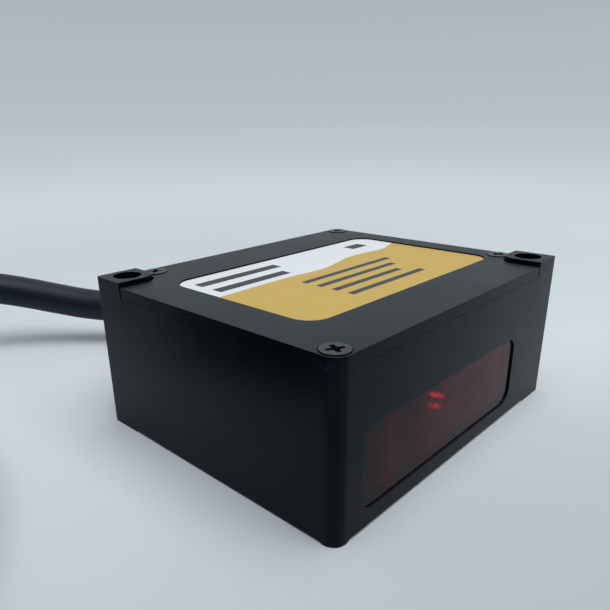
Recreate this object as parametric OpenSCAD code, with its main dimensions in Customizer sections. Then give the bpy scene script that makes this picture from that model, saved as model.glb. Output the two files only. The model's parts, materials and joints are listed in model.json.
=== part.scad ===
// Laser displacement sensor: a black metal box with a red front window, a labelled cover and a rear lead.
// The window faces -Y, the lead leaves on +Y, and the feet stand on Z = 0. All sizes are in millimetres.

/* [Housing] */
// Width across the window face
body_w = 60.5; // [58:0.5:72]
// Depth from the window face to the lead face
body_d = 50; // [48:0.5:62]
// Height from the feet to the tops of the mounting lugs
body_h = 26; // [25:0.5:32]
// Thickness of the side and rear walls
wall = 2; // [1.6:0.1:2.6]
// Thickness of the front wall that carries the window
front_wall = 3.5; // [3.2:0.1:4.5]
// Thickness of the housing floor
floor_t = 2.5; // [2.2:0.1:3.2]
// Radius of the two body corners that hold a cover screw
corner_r = 2; // [1.2:0.1:3]
// Height of the feet
foot_h = 0.4; // [0.2:0.1:1]

/* [Mounting lugs] */
// Longer side of a lug in plan
lug_long = 7.2; // [6.6:0.1:9]
// Shorter side of a lug in plan
lug_short = 6.5; // [6.2:0.1:8]
// Diameter of a mounting hole
lug_hole_d = 4.5; // [3.4:0.1:4.5]
// Radius of the lug corner that faces the cover
lug_inner_r = 2.6; // [1:0.1:3]
// Radius of the lug corner at the outside of the body
lug_outer_r = 0.3; // [0.2:0.1:1.5]
// Height of a lug above the cover
lug_rise = 0.75; // [0.3:0.05:1.5]
// Width of the sealing rim round the inside of a lug
lug_rim = 2; // [1.6:0.1:2.6]

/* [Cover] */
// Thickness of the cover
cover_t = 1.75; // [1.5:0.05:2.5]
// Clearance between the cover and the lugs
cover_gap = 0.35; // [0.2:0.05:0.6]
// Height of the locating lip under the cover
lip_h = 0.8; // [0.5:0.1:1.2]
// Width of the locating lip
lip_w = 1.2; // [0.8:0.1:1.6]
// Clearance between the lip and the housing
lip_gap = 0.2; // [0.1:0.05:0.4]
// Gap at the seam between the cover and the rim of the housing
seam_gap = 0.05; // [0.03:0.01:0.1]
// Thickness of the cover gasket, which lies in a step inside the rim
gasket_t = 0.4; // [0.3:0.05:0.6]
// Width of the rim outside the gasket
gasket_inset = 0.6; // [0.4:0.1:0.8]

/* [Label] */
// Width of the label recess
label_w = 49.2; // [44:0.2:51]
// Depth of the label recess from front to back
label_d = 30; // [24:0.1:31]
// Distance from the left face to the label recess
label_left = 6.9; // [6:0.1:7.5]
// Distance from the window face to the label recess
label_front = 9.8; // [9.8:0.1:12]
// Corner radius of the label recess
label_r = 3.5; // [2.5:0.1:5]
// Depth of the label recess
label_recess = 0.4; // [0.25:0.05:0.6]
// Thickness of the label
label_t = 0.15; // [0.1:0.05:0.25]
// Clearance round the label
label_gap = 0.1; // [0.05:0.05:0.3]

/* [Screws] */
// Thread diameter of all the small screws
screw_d = 2; // [1.6:0.1:2.2]
// Head diameter of the cover screws
cover_head_d = 3.8; // [3.4:0.1:4]
// Length of a cover screw below the cover's top
cover_screw_l = 7; // [6:0.5:9]
// Distance of a cover screw from the nearest faces
screw_inset = 2.25; // [2.1:0.05:2.8]
// Distance from a lug to the cover screw beside it
screw_beside_lug = 2.3; // [2.3:0.05:3]
// Height of a cover screw's rim
screw_rim = 0.3; // [0.2:0.05:0.4]
// How far a cover screw stands above the cover
screw_proud = 0.15; // [0.05:0.05:0.2]
// Span of the cross recess in a screw head
recess_w = 2.4; // [1.8:0.1:2.6]
// Width of the recess's arms
recess_arm = 0.65; // [0.5:0.05:0.8]
// Depth of the recess in a cover screw
recess_depth = 0.9; // [0.6:0.1:1]
// Head diameter of the inner pan-head screws
pan_head_d = 3.6; // [3.2:0.1:3.8]
// Head height of the inner pan-head screws
pan_head_h = 1.2; // [0.8:0.1:1.4]

/* [Window] */
// Width of the window pocket
window_w = 42; // [38:0.5:43]
// Height of the window pocket
window_h = 12; // [10.6:0.2:12.4]
// Distance from the left face to the window pocket
window_left = 5; // [4.5:0.1:7]
// Height of the window's centre above the feet
window_z = 8.7; // [8.6:0.1:9.6]
// Corner radius of the window pocket
window_r = 2.5; // [1.6:0.1:4]
// How far the pane lies behind the window face
window_recess = 0.3; // [0.2:0.1:0.8]
// Thickness of the pane
pane_t = 1.5; // [1:0.1:1.6]
// Clearance round the pane
pane_gap = 0.1; // [0.05:0.05:0.3]
// Thickness of the seal behind the pane
seal_t = 0.2; // [0.1:0.05:0.3]
// Width of the ledge that the seal lies on
ledge_w = 1; // [0.8:0.1:1.4]

/* [Optics] */
// Distance from the left face to the laser's axis
laser_left = 27.25; // [27:0.25:32]
// Distance between the laser and the receiver lens
baseline = 14; // [13.8:0.1:14.5]
// Distance from the window face to the middle of the measuring range
working_distance = 30; // [25:1:60]
// Outside diameter of the laser barrel
barrel_d = 9; // [8.4:0.1:9.4]
// Length of the laser barrel
barrel_l = 13; // [12:0.5:14]
// Diameter of the collimator lens
collimator_d = 6.4; // [6:0.1:6.8]
// Outside diameter of the receiver barrel
receiver_d = 10; // [9.4:0.1:10.2]
// Length of the receiver barrel
receiver_l = 9; // [8:0.5:9.5]
// Diameter of the receiver lens
receiver_lens_d = 8; // [7.4:0.1:8.4]
// Distance from the receiver barrel's middle to the sensor wall
image_distance = 13; // [12:0.5:14]
// Thickness of the bench plate
bench_t = 1.6; // [1.4:0.1:2]
// Width of the block round the laser barrel
laser_block_w = 11.5; // [11:0.1:11.8]
// Width of the block round the receiver barrel
receiver_block_w = 12; // [11.6:0.1:12.2]
// Height of the blocks above the optical axis
block_rise = 6.5; // [6:0.1:7]
// Clearance between the bench and the walls
bench_gap = 0.3; // [0.2:0.1:0.5]

/* [Boards] */
// Thickness of the circuit boards
board_t = 1.2; // [0.8:0.1:1.6]
// Distance from the housing rim down to the main board's underside
board_drop = 5.5; // [5:0.1:6]
// Clearance between the main board and the walls
board_gap = 0.4; // [0.3:0.1:0.8]
// Diameter of the posts under the main board
post_d = 5.2; // [5:0.1:5.6]
// Distance from the walls to a post's axis
post_inset = 2.4; // [2.3:0.1:2.5]
// Side of the processor
processor_w = 10; // [7:0.5:12]
// Width of the lead connector under the main board
connector_w = 11; // [10:0.5:14]
// Height of the lead connector
connector_h = 4.5; // [4:0.1:5]

/* [Lead] */
// Diameter of the lead
cable_d = 7; // [6:0.1:7.5]
// Height of the lead's exit above the feet
cable_z = 10; // [9.6:0.1:11]
// Diameter of the gland's neck
gland_neck_d = 10; // [9.4:0.1:10.6]
// Diameter of the gland's flange
gland_flange_d = 14; // [13:0.5:15]
// Thickness of the gland's flange
gland_flange_t = 2.6; // [2:0.1:4]
// Width across the flats of the gland nut
gland_nut_w = 13; // [12.5:0.1:13.4]
// Thickness of the gland nut
gland_nut_t = 2.5; // [2:0.1:3]
// Thickness of the seal under the gland's flange
gland_seal_t = 0.5; // [0.3:0.1:1]
// Length of the tapered strain relief
relief_l = 10; // [8:0.5:14]
// Diameter of the strain relief at the gland
relief_d = 11; // [10:0.5:12]
// Diameter of the strain relief at its free end
relief_end_d = 9; // [8.6:0.1:10]
// Number of grooves in the strain relief
relief_grooves = 3; // [2:1:4]
// Thickness of the ties round the coil
tie_t = 0.8; // [0.6:0.1:1.2]
// Width of the ties round the coil
tie_w = 3; // [2:0.5:5]
// Diameter of one core of the lead
core_d = 1; // [0.8:0.1:1.1]

/* [Hidden] */
$fn = 64;

// Small clearances and overshoots
fit_gap = 0.03;
head_gap = 0.15;
over = 1;

// Faces and levels of the housing
left_x = -body_w / 2;
right_x = body_w / 2;
front_y = -body_d / 2;
back_y = body_d / 2;
floor_z = foot_h + floor_t;
cover_z = body_h - lug_rise;
cover_base_z = cover_z - cover_t;
rim_z = cover_base_z - seam_gap;
gasket_z = cover_base_z - gasket_t;

// Mounting lugs: outer corner, direction into the body, size in plan
rear_lug = [[left_x, back_y], [1, -1], [lug_long, lug_short]];
front_lug = [[right_x, front_y], [-1, 1], [lug_short, lug_long]];
lugs = [rear_lug, front_lug];

// Cover screws: two in plain corners, two beside the lugs
cover_screw_at = [
  [left_x + screw_inset, front_y + screw_inset],
  [right_x - screw_inset, back_y - screw_inset],
  [left_x + lug_long + screw_beside_lug, back_y - screw_inset],
  [right_x - screw_inset, front_y + lug_long + screw_beside_lug]
];
boss_wall = 1.4;
boss_r = screw_d / 2 + boss_wall;
cover_head_h = (cover_head_d - screw_d) / 2;
screw_end_z = cover_z - cover_screw_l;
screw_hole_extra = 1;

// Cross recess: centre cone, shallower arms, floor left in a pan head, turn of each cover screw
recess_core_d = 1.3;
recess_tip_d = 0.5;
recess_arm_share = 0.6;
recess_floor = 0.4;
recess_turns = [-27, 15, 50, -10];

// Window
window_x = left_x + window_left + window_w / 2;
pocket_y = window_recess + pane_t + seal_t;

// Label recess centre
label_at = [left_x + label_left + label_w / 2, front_y + label_front + label_d / 2];

// Optical axis, laser and receiver
optic_rise = 0.4;
optic_z = window_z + optic_rise;
optic_front_y = front_y + front_wall + bench_gap;
laser_x = left_x + laser_left;
receiver_x = laser_x - baseline;
receiver_back = 6.5;
receiver_y = optic_front_y + receiver_back;
view_angle = atan2(baseline, working_distance + receiver_y - front_y);
block_top_z = optic_z + block_rise;
bench_top_z = floor_z + bench_t;
bench_side = 6;
bench_tail = 9;
bench_right_x = laser_x + laser_block_w / 2 + bench_side;
bench_back_y = optic_front_y + barrel_l + bench_tail;
baffle_t = 0.6;
baffle_gap = 0.2;
baffle_x = laser_x - laser_block_w / 2 - baffle_gap - baffle_t / 2;
baffle_l = 12;

// Laser parts, measured from the barrel's front end
lens_seat = 4;
lens_edge_t = 1.4;
lens_crown_share = 0.78;
lens_sag = 0.6;
ring_t = 1.2;
beam_d = 4.6;
diode_flange_d = 5.6;
diode_flange_t = 1.2;
diode_cap_d = 4.4;
diode_cap_h = 2.4;
diode_sink = 0.2;
diode_pin_d = 0.45;
diode_pin_r = 1.27;
diode_pin_l = 4.5;
laser_board_w = 9;
laser_board_lift = 0.3;
laser_board_at = 2;

// Receiver parts
receiver_bore_d = 6.4;
receiver_seat = 3.4;
sensor_wall_w = 10.4;
sensor_wall_t = 2;
sensor_wall_rise = 5.5;
sensor_board_w = 10;
sensor_board_t = 1;
sensor_board_lift = 0.3;
chip_w = 7;
chip_h = 3.4;
chip_t = 1.4;
chip_gap = 0.2;
sensor_screw_d = 1.4;
sensor_screw_l = 2.6;
sensor_head_d = 2.4;
sensor_head_h = 0.8;
sensor_screw_x = 3.6;
sensor_screw_rise = 4;
flex_w = 4;
flex_t = 0.25;
flex_overlap = 2;
flex_run = 4;

// Bench screws in the plate's free areas
bench_screw_edge = 3;
bench_screw_front = 3.5;
bench_screw_back = 5;
bench_screw_left = 8.5;
bench_screw_at = [
  [bench_right_x - bench_screw_edge, optic_front_y + bench_screw_front],
  [bench_right_x - bench_screw_edge, bench_back_y - bench_screw_back],
  [laser_x - bench_screw_left, bench_back_y - bench_screw_back]
];
bench_floor_left = 0.8;
bench_screw_l = bench_t + floor_t - bench_floor_left;
set_screw_d = 2.5;
set_socket_d = 1.3;

// Main board, kept clear of the gland nut below it
board_clear = 0.3;
board_z = max(rim_z - board_drop, cable_z + gland_nut_w / 2 + board_clear);
left_post_y = 33;
right_post_y = 17;
corner_post_y = 7.5;
rear_post_x = 17;
post_at = [
  [left_x + wall + post_inset, front_y + left_post_y],
  [right_x - wall - post_inset, front_y + right_post_y],
  [right_x - wall - post_inset, back_y - corner_post_y],
  [left_x + rear_post_x, back_y - wall - post_inset]
];
board_screw_grip = 4;
board_screw_l = board_t + board_screw_grip;
processor_x = 4;
processor_y = -4;
processor_t = 1.4;
processor_r = 0.4;
// Other parts on the board: two columns and a rear row
left_column_x = -14;
right_column_x = 17;
rear_row_y = 10;
capacitor_w = 5;
capacitor_d = 4;
capacitor_h = 1.6;
inductor_w = 6;
inductor_h = 2.8;
diode_w = 3.5;
diode_d = 2.8;
diode_h = 1.9;
regulator_w = 7.3;
regulator_d = 4.3;
regulator_h = 2.8;
memory_w = 5;
memory_d = 3.2;
memory_h = 1.2;
part_list = [
  [[left_column_x, -2.5 * capacitor_d], capacitor_w, capacitor_d, capacitor_h],
  [[left_column_x, -0.5 * capacitor_d], capacitor_w, capacitor_d, capacitor_h],
  [[left_column_x, inductor_w], inductor_w, inductor_w, inductor_h],
  [[right_column_x, -0.6 * inductor_w], inductor_w, inductor_w, inductor_h],
  [[right_column_x, 2 * diode_d], diode_w, diode_d, diode_h],
  [[right_column_x, 4 * diode_d], diode_w, diode_d, diode_h],
  [[-0.5 * regulator_w, rear_row_y], regulator_w, regulator_d, regulator_h],
  [[1.2 * memory_w, rear_row_y], memory_w, memory_d, memory_h]
];
connector_d = 5;
connector_back = 24;
connector_y = back_y - connector_back;

// Gland and inner cores
gland_x = 0;
gland_neck_end = 0.5;
gland_neck_l = wall + gland_nut_t + gland_neck_end;
relief_start_y = back_y + gland_seal_t + gland_flange_t;
groove_w = 1;
groove_depth = 0.7;
cable_inside = 7;
cable_start_y = back_y - cable_inside;
core_ring_r = 2.2;
core_angles = [150, 210, 90, 270, 330, 30];
core_count = len(core_angles);
core_pitch = 1.7;
core_steps = 8;
core_sides = 8;
core_straight = 0.13;

// Coil of the rest of the lead: three turns across, two full layers and a part layer
coil_d = cable_d;
coil_mid_r = 5.5 * coil_d;
coil_in_r = coil_mid_r - 1.5 * coil_d;
coil_out_r = coil_mid_r + 1.5 * coil_d;
coil_base = tie_t;
coil_layer_z = coil_base + 2 * coil_d;
coil_top_z = coil_base + 3 * coil_d;
coil_edge_r = 0.43 * coil_d;
lay_z = coil_base + coil_d / 2;
lead_in_x = -104;
lead_in_y = 47;
coil_at = [lead_in_x, back_y + lead_in_y - coil_mid_r - coil_d];
lead_in_l = 4 * coil_d;
last_turn_start = 90;
last_turn_angle = 165;
tie_angles = [115, 235];
tie_gap = 0.08;

// Route of the lead from inside the gland to the coil, measured from the rear face
route_points = [
  [0, -cable_inside, cable_z], [0, 0, cable_z], [0, 7, cable_z], [0, 14, cable_z],
  [-1.2, 21, 9.4], [-4.1, 27.7, 8.8], [-8.2, 33.8, 8.6], [-12.9, 39.3, 9.2], [-17.7, 44.3, 10.6],
  [-22.7, 48.7, 12.3], [-28.1, 52.5, 13.9], [-34, 55.5, 15.2], [-40.4, 57.5, 16.1], [-47.1, 58.3, 16.4],
  [-54, 57.9, 15.9], [-60.8, 56.5, 14.6], [-67.5, 54.2, 12.5], [-74.2, 51.6, 9.9], [-81, 49.2, 7.3],
  [-88.5, 47.5, 5.2],
  [-96.5, lead_in_y, lay_z],
  [lead_in_x, lead_in_y, lay_z]
];
cable_route = [for (p = route_points) [p.x, back_y + p.y, p.z]];
cable_sides = 12;

// Free cores at the end of the lead
lead_l = 42;
lead_start = 0.1;
lead_stagger = 3;
lead_rings = 9;
lead_gap = 0.15;
lead_pitch = core_d + lead_gap;
lead_inset = 4;
tip_d = 0.8;
tip_rings = 3;
tip_step = 0.05;
tip_start = 1.003;

// Colours
body_black = [0.09, 0.09, 0.10];
trim_black = [0.05, 0.05, 0.055];
steel = [0.42, 0.42, 0.44];
board_green = [0.05, 0.25, 0.14];

// Vector helpers for swept tubes
function unit(v) = v / norm(v);
function side_of(d) = unit(cross(d, [0, 0, 1]));
function heading(path, i) = unit(path[min(i + 1, len(path) - 1)] - path[max(i - 1, 0)]);
function ring(p, d, r, n) =
  let (s = side_of(d), u = cross(s, d))
  [for (i = [0:n - 1]) p + r * (cos(360 * i / n) * s + sin(360 * i / n) * u)];
function ease(t) = t * t * (3 - 2 * t);

// Tube of radius r with n sides along a path
module sweep(path, r, n) {
  last = len(path) - 1;
  points = [for (i = [0:last]) each ring(path[i], heading(path, i), r, n)];
  start_cap = [for (i = [n - 1:-1:0]) i];
  end_cap = [for (i = [0:n - 1]) last * n + i];
  sides = [
    for (k = [0:last - 1], i = [0:n - 1])
      [k * n + i, k * n + (i + 1) % n, (k + 1) * n + (i + 1) % n, (k + 1) * n + i]
  ];
  polyhedron(points, concat([start_cap], [end_cap], sides), convexity = 6);
}

// Rectangle centred on the origin with round corners
module rounded_rect(w, d, r) {
  square([w - 2 * r, d], center = true);
  square([w, d - 2 * r], center = true);
  for (x = [-1, 1], y = [-1, 1])
    translate([x * (w / 2 - r), y * (d / 2 - r)])
      circle(r);
}

// What a round corner takes off a square one; dir points out of the corner
module corner_waste(corner, dir, r) {
  reach = r + over;
  translate([corner.x - dir.x * r, corner.y - dir.y * r])
    difference() {
      translate([dir.x < 0 ? -reach : 0, dir.y < 0 ? -reach : 0])
        square(reach);
      circle(r);
    }
}

// Plan of the body, drawn in by inset
module body_plan(inset = 0) {
  difference() {
    square([body_w - 2 * inset, body_d - 2 * inset], center = true);
    corner_waste([left_x + inset, front_y + inset], [-1, -1], corner_r - inset);
    corner_waste([right_x - inset, back_y - inset], [1, 1], corner_r - inset);
    corner_waste([left_x + inset, back_y - inset], [-1, 1], lug_outer_r);
    corner_waste([right_x - inset, front_y + inset], [1, -1], lug_outer_r);
  }
}

// Plan of both lugs, grown inwards by grow and carried past the body's outline
module lug_plan(grow = 0) {
  for (lug = lugs) {
    outer = lug[0] - over * lug[1];
    inner = lug[0] + [for (k = [0, 1]) lug[1][k] * (lug[2][k] + grow)];
    difference() {
      translate([min(outer.x, inner.x), min(outer.y, inner.y)])
        square([abs(inner.x - outer.x), abs(inner.y - outer.y)]);
      corner_waste(inner, lug[1], lug_inner_r + grow);
    }
  }
}

// Plan of the space inside the walls, lugs and screw bosses, drawn in by gap
module cavity_plan(gap = 0) {
  difference() {
    translate([left_x + wall + gap, front_y + front_wall + gap])
      square([body_w - 2 * (wall + gap), body_d - front_wall - wall - 2 * gap]);
    lug_plan(lug_rim + gap);
    for (p = cover_screw_at)
      translate(p)
        circle(boss_r + gap);
  }
}

// Plan of the step inside the rim that holds the gasket, drawn in by gap
module gasket_plan(gap = 0) {
  difference() {
    body_plan(gasket_inset + gap);
    lug_plan(cover_gap + gasket_inset + gap);
  }
}

// Centre of a mounting hole
function lug_hole(lug) = lug[0] + [for (k = [0, 1]) lug[1][k] * lug[2][k] / 2];

// Stands a drawing in the window face, reaching depth into the wall
module in_window_face(depth) {
  translate([window_x, front_y + depth, window_z])
    rotate([90, 0, 0])
      children();
}

// Axis of the laser: local Z runs back from the barrel's front end
module along_laser() {
  translate([laser_x, optic_front_y, optic_z])
    rotate([-90, 0, 0])
      children();
}

// Frame of the receiver: local Y runs back along its axis, Z stays up
module receiver_frame() {
  translate([receiver_x, receiver_y, 0])
    rotate([0, 0, view_angle])
      children();
}

// Axis of the receiver: local Z runs back from the barrel's front end
module along_receiver() {
  receiver_frame()
    translate([0, -receiver_l / 2, optic_z])
      rotate([-90, 0, 0])
        children();
}

// Axis of the gland: local Z runs out of the rear face
module along_gland() {
  translate([gland_x, back_y, cable_z])
    rotate([-90, 0, 0])
      children();
}

module housing_shell() {
  difference() {
    union() {
      translate([0, 0, foot_h])
        linear_extrude(rim_z - foot_h)
          body_plan();
      linear_extrude(body_h)
        intersection() {
          lug_plan();
          body_plan();
        }
      for (s = [-1, 1])
        translate([s * (body_w / 2 - corner_r), s * (body_d / 2 - corner_r), 0])
          cylinder(r = corner_r, h = foot_h + over);
    }
    translate([0, 0, floor_z])
      linear_extrude(body_h)
        cavity_plan();
  }
}

module housing() {
  color(body_black)
    difference() {
      union() {
        housing_shell();
        for (p = post_at)
          translate([p.x, p.y, floor_z - floor_t / 2])
            cylinder(d = post_d, h = board_z - floor_z + floor_t / 2);
      }
      translate([0, 0, gasket_z])
        linear_extrude(gasket_t + over)
          gasket_plan();
      for (lug = lugs)
        translate([lug_hole(lug).x, lug_hole(lug).y, -over])
          cylinder(d = lug_hole_d, h = body_h + 2 * over);
      for (p = cover_screw_at)
        translate([p.x, p.y, screw_end_z - screw_hole_extra])
          cylinder(d = screw_d + 2 * fit_gap, h = body_h);
      for (p = post_at)
        translate([p.x, p.y, board_z + board_t - board_screw_l - screw_hole_extra])
          cylinder(d = screw_d + 2 * fit_gap, h = board_screw_l + screw_hole_extra);
      for (p = bench_screw_at)
        translate([p.x, p.y, bench_top_z - bench_screw_l - fit_gap])
          cylinder(d = screw_d + 2 * fit_gap, h = bench_screw_l);
      in_window_face(pocket_y)
        linear_extrude(pocket_y + over)
          rounded_rect(window_w, window_h, window_r);
      in_window_face(front_wall + over)
        linear_extrude(front_wall + 2 * over)
          rounded_rect(window_w - 2 * ledge_w, window_h - 2 * ledge_w, window_r - ledge_w);
      along_gland()
        translate([0, 0, -wall - over])
          cylinder(d = gland_neck_d + 2 * fit_gap, h = wall + 2 * over);
    }
}

module top_cover() {
  head_r = cover_head_d / 2 + fit_gap;
  color(body_black)
    difference() {
      union() {
        translate([0, 0, cover_base_z])
          linear_extrude(cover_t)
            difference() {
              body_plan();
              lug_plan(cover_gap);
            }
        translate([0, 0, cover_base_z - lip_h])
          linear_extrude(lip_h + cover_t / 2)
            difference() {
              cavity_plan(lip_gap);
              cavity_plan(lip_gap + lip_w);
            }
      }
      translate([label_at.x, label_at.y, cover_z - label_recess])
        linear_extrude(label_recess + over)
          rounded_rect(label_w, label_d, label_r);
      for (p = cover_screw_at)
        translate([p.x, p.y, cover_z + screw_proud - screw_rim]) {
          cylinder(r = cover_head_d / 2 + head_gap, h = screw_rim + over);
          translate([0, 0, -cover_head_h])
            cylinder(r1 = head_r - cover_head_h, r2 = head_r, h = cover_head_h);
          translate([0, 0, -cover_t - lip_h])
            cylinder(d = screw_d + 2 * head_gap, h = cover_t + lip_h);
        }
    }
}

module cover_gasket() {
  color(trim_black)
    translate([0, 0, gasket_z])
      linear_extrude(gasket_t)
        difference() {
          gasket_plan(fit_gap);
          cavity_plan();
          for (p = cover_screw_at)
            translate(p)
              circle(d = screw_d + 2 * head_gap);
        }
}

// Cross recess, cut down from Z = 0
module cross_recess(depth) {
  arm_depth = depth * recess_arm_share;
  translate([0, 0, -depth])
    cylinder(d1 = recess_tip_d, d2 = recess_core_d, h = depth);
  for (a = [0, 90])
    rotate(a)
      translate([-recess_w / 2, -recess_arm / 2, -arm_depth])
        cube([recess_w, recess_arm, arm_depth + over]);
}

module cover_screws() {
  head_r = cover_head_d / 2;
  color(steel)
    for (k = [0:len(cover_screw_at) - 1])
      translate([cover_screw_at[k].x, cover_screw_at[k].y, cover_z + screw_proud])
        difference() {
          union() {
            translate([0, 0, -screw_rim])
              cylinder(r = head_r, h = screw_rim);
            translate([0, 0, -screw_rim - cover_head_h])
              cylinder(d1 = screw_d, r2 = head_r, h = cover_head_h);
            translate([0, 0, -cover_screw_l - screw_proud])
              cylinder(d = screw_d, h = cover_screw_l + screw_proud - screw_rim);
          }
          rotate(recess_turns[k])
            cross_recess(recess_depth);
        }
}

// Pan-head screw hanging from Z = 0, with its head above
module pan_screw(l) {
  difference() {
    union() {
      cylinder(d = pan_head_d, h = pan_head_h);
      translate([0, 0, -l])
        cylinder(d = screw_d, h = l + pan_head_h / 2);
    }
    translate([0, 0, pan_head_h])
      cross_recess(pan_head_h - recess_floor);
  }
}

module label() {
  color("goldenrod")
    translate([label_at.x, label_at.y, cover_z - label_recess])
      linear_extrude(label_t)
        rounded_rect(label_w - 2 * label_gap, label_d - 2 * label_gap, label_r - label_gap);
}

module window_pane() {
  color([0.35, 0.04, 0.06])
    in_window_face(window_recess + pane_t)
      linear_extrude(pane_t)
        rounded_rect(window_w - 2 * pane_gap, window_h - 2 * pane_gap, window_r - pane_gap);
}

module window_seal() {
  color(trim_black)
    in_window_face(pocket_y)
      linear_extrude(seal_t)
        difference() {
          rounded_rect(window_w - 2 * pane_gap, window_h - 2 * pane_gap, window_r - pane_gap);
          rounded_rect(window_w - 2 * ledge_w, window_h - 2 * ledge_w, window_r - ledge_w);
        }
}

// Bench: one machined piece with the laser block, the slanted receiver block and the sensor wall
module optical_bench() {
  color([0.16, 0.16, 0.17])
    difference() {
      intersection() {
        translate([0, 0, floor_z])
          linear_extrude(body_h)
            cavity_plan(bench_gap);
        union() {
          translate([left_x, optic_front_y, floor_z])
            cube([bench_right_x - left_x, bench_back_y - optic_front_y, bench_t]);
          translate([laser_x - laser_block_w / 2, optic_front_y, floor_z])
            cube([laser_block_w, barrel_l, block_top_z - floor_z]);
          receiver_frame()
            translate([-receiver_block_w / 2, -receiver_l / 2, floor_z])
              cube([receiver_block_w, receiver_l, block_top_z - floor_z]);
          receiver_frame()
            translate([-sensor_wall_w / 2, image_distance, floor_z])
              cube([sensor_wall_w, sensor_wall_t, optic_z + sensor_wall_rise - floor_z]);
        }
      }
      along_laser()
        translate([0, 0, -over])
          cylinder(d = barrel_d + 2 * fit_gap, h = barrel_l + 2 * over);
      along_receiver()
        translate([0, 0, -over])
          cylinder(d = receiver_d + 2 * fit_gap, h = receiver_l + 2 * over);
      receiver_frame()
        translate([-chip_w / 2 - chip_gap, image_distance - over, optic_z - chip_h / 2 - chip_gap])
          cube([chip_w + 2 * chip_gap, sensor_wall_t + 2 * over, chip_h + 2 * chip_gap]);
      for (s = [-1, 1])
        sensor_screw_place(s)
          translate([0, 0, -sensor_wall_t - over])
            cylinder(d = sensor_screw_d + 2 * fit_gap, h = sensor_wall_t + 2 * over);
      for (p = bench_screw_at)
        translate([p.x, p.y, floor_z - over])
          cylinder(d = screw_d + 2 * head_gap, h = bench_t + 2 * over);
      for (k = [0, 1])
        set_screw_place(k)
          cylinder(d = set_screw_d + 2 * fit_gap, h = block_rise);
    }
}

module bench_screws() {
  color(steel)
    for (p = bench_screw_at)
      translate([p.x, p.y, bench_top_z])
        pan_screw(bench_screw_l);
}

module light_baffle() {
  color(trim_black)
    translate([baffle_x - baffle_t / 2, optic_front_y, bench_top_z])
      cube([baffle_t, baffle_l, optic_z + sensor_wall_rise - bench_top_z]);
}

// Top of the laser barrel (0) or the receiver barrel (1)
module set_screw_place(k) {
  if (k == 0)
    translate([laser_x, optic_front_y + barrel_l / 2, optic_z + barrel_d / 2])
      children();
  else
    translate([receiver_x, receiver_y, optic_z + receiver_d / 2])
      children();
}

module set_screws() {
  color(steel)
    for (k = [0, 1]) {
      l = block_rise - (k == 0 ? barrel_d : receiver_d) / 2;
      set_screw_place(k)
        difference() {
          cylinder(d = set_screw_d, h = l);
          translate([0, 0, l / 2])
            cylinder(d = set_socket_d, h = l, $fn = 6);
        }
    }
}

module laser_barrel() {
  diode_seat = barrel_l - diode_flange_t - diode_sink;
  color(trim_black)
    along_laser()
      difference() {
        cylinder(d = barrel_d, h = barrel_l);
        translate([0, 0, -over])
          cylinder(d = collimator_d + 2 * fit_gap, h = lens_seat + over);
        translate([0, 0, -over])
          cylinder(d = beam_d, h = barrel_l + 2 * over);
        translate([0, 0, diode_seat])
          cylinder(d = diode_flange_d + 2 * fit_gap, h = barrel_l);
      }
}

module laser_diode() {
  color([0.75, 0.62, 0.32])
    along_laser()
      translate([0, 0, barrel_l - diode_flange_t - diode_sink]) {
        cylinder(d = diode_flange_d, h = diode_flange_t);
        translate([0, 0, -diode_cap_h])
          cylinder(d = diode_cap_d, h = diode_cap_h + diode_flange_t / 2);
        for (a = [0:120:240])
          rotate(a)
            translate([diode_pin_r, 0, diode_flange_t / 2])
              cylinder(d = diode_pin_d, h = diode_flange_t / 2 + diode_pin_l);
      }
}

// Lens with a flat rim and a crown, lying on Z = 0 with the crown towards -Z
module lens(d, edge_t, sag) {
  crown_r = d * lens_crown_share / 2;
  ball_r = (crown_r * crown_r + sag * sag) / (2 * sag);
  translate([0, 0, -edge_t])
    cylinder(d = d, h = edge_t);
  rotate_extrude()
    intersection() {
      translate([0, ball_r - sag - edge_t])
        circle(ball_r);
      translate([0, -sag - edge_t])
        square([crown_r, sag + edge_t / 2]);
    }
}

module collimator_lens() {
  color([0.75, 0.85, 0.9, 0.5])
    along_laser()
      translate([0, 0, lens_seat])
        lens(collimator_d, lens_edge_t, lens_sag);
}

// Retaining ring on a lens rim that ends at Z = 0
module lens_ring(d) {
  translate([0, 0, -ring_t])
    difference() {
      cylinder(d = d, h = ring_t);
      translate([0, 0, -over])
        cylinder(d = d * (lens_crown_share + 1) / 2, h = ring_t + 2 * over);
    }
}

module lens_rings() {
  color(trim_black) {
    along_laser()
      translate([0, 0, lens_seat - lens_edge_t])
        lens_ring(collimator_d);
    along_receiver()
      translate([0, 0, receiver_seat - lens_edge_t])
        lens_ring(receiver_lens_d);
  }
}

module laser_board() {
  below = optic_z - bench_top_z - laser_board_lift;
  color(board_green)
    along_laser()
      translate([0, 0, barrel_l + laser_board_at])
        linear_extrude(board_t)
          difference() {
            translate([-laser_board_w / 2, -laser_board_w / 2])
              square([laser_board_w, laser_board_w / 2 + below]);
            for (a = [0:120:240])
              rotate(a)
                translate([diode_pin_r, 0])
                  circle(d = diode_pin_d + 2 * fit_gap);
          }
}

module receiver_barrel() {
  color(trim_black)
    along_receiver()
      difference() {
        cylinder(d = receiver_d, h = receiver_l);
        translate([0, 0, -over])
          cylinder(d = receiver_lens_d + 2 * fit_gap, h = receiver_seat + over);
        translate([0, 0, -over])
          cylinder(d = receiver_bore_d, h = receiver_l + 2 * over);
      }
}

module receiver_lens() {
  color([0.75, 0.85, 0.9, 0.5])
    along_receiver()
      translate([0, 0, receiver_seat])
        lens(receiver_lens_d, lens_edge_t, lens_sag);
}

module image_sensor() {
  color([0.12, 0.12, 0.14])
    receiver_frame()
      translate([-chip_w / 2, image_distance + sensor_wall_t - chip_t, optic_z - chip_h / 2])
        cube([chip_w, chip_t, chip_h]);
}

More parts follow.
